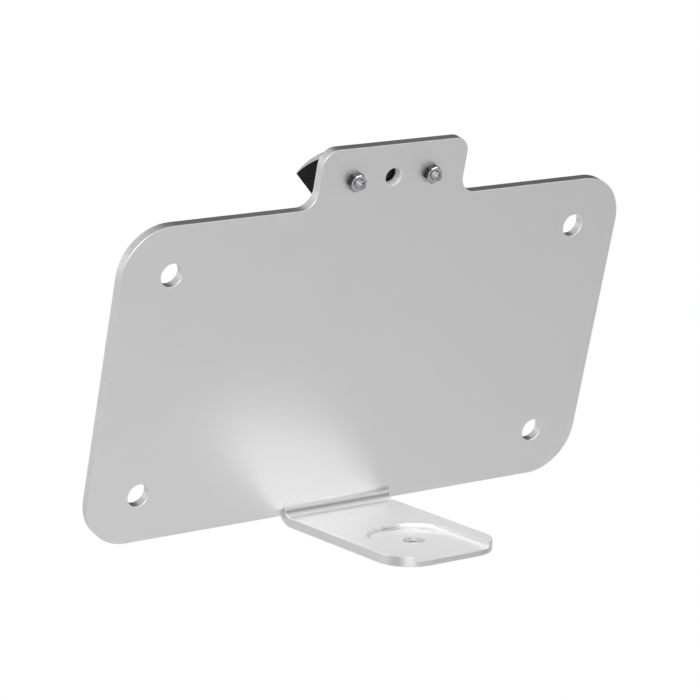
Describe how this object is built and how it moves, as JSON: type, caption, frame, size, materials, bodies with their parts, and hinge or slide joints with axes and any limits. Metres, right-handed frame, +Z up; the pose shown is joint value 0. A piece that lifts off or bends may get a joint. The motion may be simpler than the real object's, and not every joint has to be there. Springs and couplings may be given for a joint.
{
  "type": "motorcycle licence plate bracket",
  "caption": "Folded satin aluminium backing bracket for a motorcycle licence plate, with a bolt-down tongue and a slim wedge plate light behind its raised tab.",
  "frame": {"origin": "centre of the four licence-plate holes, on the face that the licence plate lies against", "axes": "+X to the right seen from the motorcycle, +Y away from the motorcycle and out of the plate seat, +Z up"},
  "size_m": [0.1802, 0.0721, 0.1205],
  "materials": {
    "sheet_aluminium": "bead-blasted and clear anodised, satin",
    "housing_plastic": "black moulding, fine texture",
    "cover_aluminium": "satin anodised",
    "lens_clear": "clear polycarbonate",
    "seal_rubber": "black rubber",
    "board_laminate": "white solder mask",
    "led_body": "white body",
    "component_body": "black body",
    "fastener_steel": "steel, turned and polished, dark passivated"
  },
  "bodies": {
    "root": {"backing_plate": "sheet_aluminium", "light_housing": "housing_plastic", "light_cover": "cover_aluminium", "light_lens": "lens_clear", "light_gasket": "seal_rubber", "cable_seal": "seal_rubber", "circuit_board": "board_laminate", "led_left": "led_body", "led_middle": "led_body", "led_right": "led_body", "resistor_left": "component_body", "resistor_right": "component_body", "polarity_diode": "component_body", "stud_left": "fastener_steel", "stud_right": "fastener_steel", "nut_left": "fastener_steel", "nut_right": "fastener_steel"}
  },
  "joints": []
}
